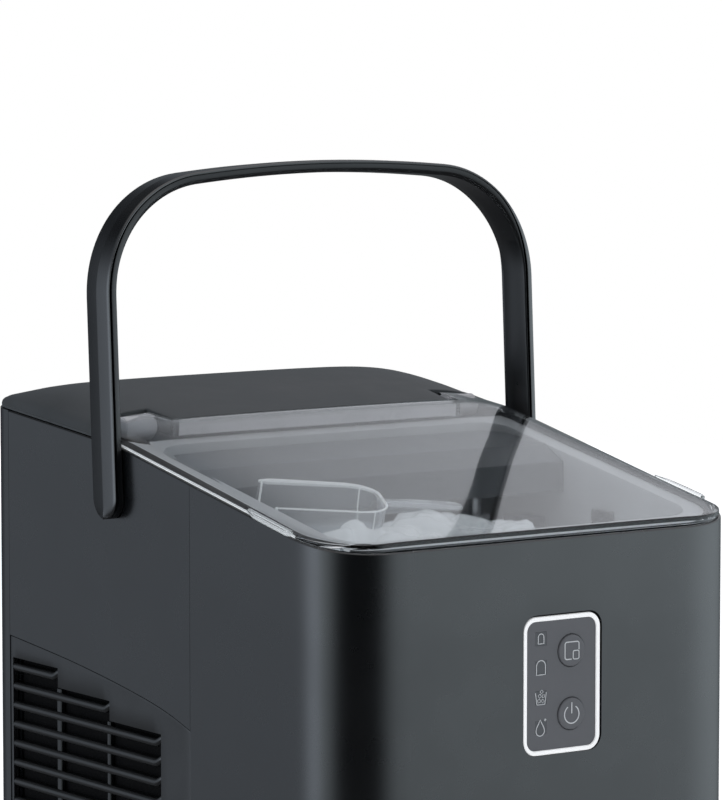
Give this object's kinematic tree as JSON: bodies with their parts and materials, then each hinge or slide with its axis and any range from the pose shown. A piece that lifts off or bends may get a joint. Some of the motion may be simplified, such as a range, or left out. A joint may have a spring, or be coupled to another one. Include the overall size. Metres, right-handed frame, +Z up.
{
  "type": "portable ice maker",
  "caption": "Portable countertop bullet-ice maker: dark box with louvred sides, a clear sloped hinged lid, a front control panel and a swinging bail handle.",
  "frame": {"origin": "on the floor, under the centre of the machine's box", "axes": "+X right seen from the front, +Y to the rear, +Z up"},
  "size_m": [0.2346, 0.28, 0.4095],
  "materials": {
    "casing_black": "satin moulded ABS, very fine grain",
    "grille_black": "satin moulded ABS",
    "deck_black": "matte moulded ABS",
    "clear_lid": "clear, slightly smoky, glossy polycarbonate",
    "handle_black": "semi-gloss moulded plastic",
    "pin_steel": "plain turned steel",
    "panel_white": "white gloss trim",
    "panel_grey": "fine matte dark grey",
    "lens": "translucent light window",
    "board_green": "fibreglass board with parts",
    "liner_grey": "light grey food-safe plastic",
    "foam": "black expanded polypropylene foam",
    "tray_grey": "mid grey food-safe plastic",
    "clear_scoop": "clear plastic",
    "evaporator_metal": "nickel-plated copper",
    "dark_plastic": "glass-filled dark plastic",
    "rubber": "soft rubber",
    "compressor_black": "black painted steel can",
    "condenser_black": "black painted fin stock",
    "copper": "drawn copper tube",
    "valve_brass": "brass body with black coil"
  },
  "bodies": {
    "casing": {"base_pan": "casing_black", "board_tray": "dark_plastic", "button_board": "board_green", "compressor": "compressor_black", "compressor_grommets": "rubber", "condenser": "condenser_black", "control_bezel": "panel_white", "control_plate": "panel_grey", "discharge_tube": "copper", "drain_hose": "rubber", "drain_spout": "dark_plastic", "evaporator": "evaporator_metal", "evaporator_cover": "tray_grey", "fan_motor": "dark_plastic", "fan_shroud": "dark_plastic", "fill_tube": "rubber", "filter_drier": "copper", "foot_screws": "pin_steel", "front_panel": "casing_black", "hinge_carrier": "dark_plastic", "hot_gas_tube": "copper", "hot_gas_valve": "valve_brass", "ice_full_sensors": "dark_plastic", "ice_slide": "tray_grey", "indicator_lenses": "lens", "inlet_pins": "pin_steel", "inner_liner": "liner_grey", "insulation_foam": "foam", "liquid_tube": "copper", "main_board": "board_green", "power_inlet": "dark_plastic", "rear_panel": "casing_black", "rear_screws": "pin_steel", "rear_top_cover": "deck_black", "reservoir_strainer": "dark_plastic", "rubber_feet": "rubber", "side_panel_left": "casing_black", "side_panel_right": "casing_black", "suction_tube": "copper", "tray_bearing": "dark_plastic", "tray_motor": "dark_plastic", "vent_grille_left": "grille_black", "vent_grille_right": "grille_black", "water_level_probe": "pin_steel", "water_pump": "dark_plastic"},
    "lid": {"lid": "clear_lid", "lid_hinge_pins": "dark_plastic"},
    "handle": {"handle_outer_shell": "handle_black", "handle_inner_shell": "handle_black", "handle_pivot_left": "handle_black", "handle_pivot_right": "handle_black"},
    "size_button": {"size_button": "panel_grey"},
    "power_button": {"power_button": "panel_grey"},
    "water_tray": {"water_tray": "tray_grey", "tray_shafts": "pin_steel"},
    "ice_pusher": {"ice_pusher": "tray_grey"},
    "fan": {"fan_blade": "dark_plastic"},
    "ice_basket": {"ice_basket": "tray_grey", "ice_scoop": "clear_scoop"},
    "drain_plug": {"drain_plug": "rubber"}
  },
  "joints": [
    {"name": "lid_hinge", "type": "hinge", "parent": "casing", "child": "lid", "pos_m": [0, 0.048, 0.2906], "axis": [-1, 0, 0], "range_deg": [0, 80]},
    {"name": "handle_swing", "type": "hinge", "parent": "casing", "child": "handle", "pos_m": [0, 0.0314, 0.2628], "axis": [-1, 0, 0], "range_deg": [-80, 62]},
    {"name": "size_button_press", "type": "slide", "parent": "casing", "child": "size_button", "axis": [0, 1, 0], "range_m": [0, 0.0008], "stiffness_N_per_m": 600},
    {"name": "power_button_press", "type": "slide", "parent": "casing", "child": "power_button", "axis": [0, 1, 0], "range_m": [0, 0.0008], "stiffness_N_per_m": 600},
    {"name": "tray_tilt", "type": "hinge", "parent": "casing", "child": "water_tray", "pos_m": [0, -0.007, 0.236], "axis": [1, 0, 0], "range_deg": [0, 75]},
    {"name": "pusher_sweep", "type": "hinge", "parent": "casing", "child": "ice_pusher", "pos_m": [0, -0.007, 0.236], "axis": [1, 0, 0], "range_deg": [-115, 0]},
    {"name": "fan_spin", "type": "hinge", "parent": "casing", "child": "fan", "pos_m": [-0.072, 0.076, 0.112], "axis": [1, 0, 0], "continuous": true},
    {"name": "basket_lift", "type": "slide", "parent": "casing", "child": "ice_basket", "axis": [0, 0, 1], "range_m": [0, 0.003]},
    {"name": "drain_plug_pull", "type": "slide", "parent": "casing", "child": "drain_plug", "axis": [0, 1, 0], "range_m": [0, 0.012]}
  ],
  "couplings": [
    {"joint": "pusher_sweep", "follows": "tray_tilt", "ratio": -1.5333}
  ]
}
